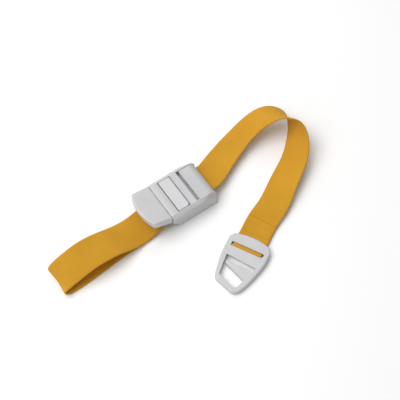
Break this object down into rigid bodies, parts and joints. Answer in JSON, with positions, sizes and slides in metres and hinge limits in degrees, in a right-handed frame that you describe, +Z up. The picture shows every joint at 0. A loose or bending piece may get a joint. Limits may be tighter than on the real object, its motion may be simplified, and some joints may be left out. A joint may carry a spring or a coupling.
{
  "type": "quick-release elastic strap",
  "caption": "Webbing strap with a pull loop, a press-release cam buckle with a toothed clamp plate, and a flat plug-in tongue with a catch window on its free end.",
  "frame": {"origin": "centre of the buckle's underside, on the surface that the strap lies on", "axes": "+X along the buckle towards the end where the strap goes out to its arch, +Y across the buckle, +Z up"},
  "size_m": [0.2378, 0.1252, 0.0271],
  "materials": {
    "buckle_plastic": "fine moulded texture",
    "lever_plastic": "fine moulded texture",
    "tongue_plastic": "fine moulded texture",
    "steel": "ground pin",
    "spring_steel": "drawn wire",
    "webbing": "woven elastic webbing",
    "thread": "sewing thread"
  },
  "bodies": {
    "buckle": {"housing": "buckle_plastic", "base_plate": "buckle_plastic", "strap_bed": "buckle_plastic", "exit_bar": "steel", "lever_pin": "steel", "lever_spring_near": "spring_steel", "lever_spring_far": "spring_steel", "clamp_pin": "steel", "clamp_spring": "spring_steel", "strap": "webbing", "loop_stitching": "thread", "tongue_stitching": "thread"},
    "lever": {"release_lever": "lever_plastic"},
    "clamp": {"clamp_plate": "lever_plastic"},
    "tongue_end": {"tongue": "tongue_plastic", "tongue_bar": "steel", "strap_end": "webbing"}
  },
  "joints": [
    {"name": "lever_hinge", "type": "hinge", "parent": "buckle", "child": "lever", "pos_m": [-0.017, 0, 0.009], "axis": [0, -1, 0], "range_deg": [0, 15], "stiffness_Nm_per_rad": 0.2, "springref_deg": -11.46},
    {"name": "clamp_hinge", "type": "hinge", "parent": "buckle", "child": "clamp", "pos_m": [0.0006, 0, 0.0144], "axis": [0, 1, 0], "range_deg": [0, 4.3]},
    {"name": "tongue_lift", "type": "hinge", "parent": "buckle", "child": "tongue_end", "pos_m": [0.02417, -0.06229, 0.003], "axis": [-0.4848, 0.8746, 0], "range_deg": [0, 75]}
  ],
  "couplings": [
    {"joint": "clamp_hinge", "follows": "lever_hinge", "ratio": 0.28}
  ]
}
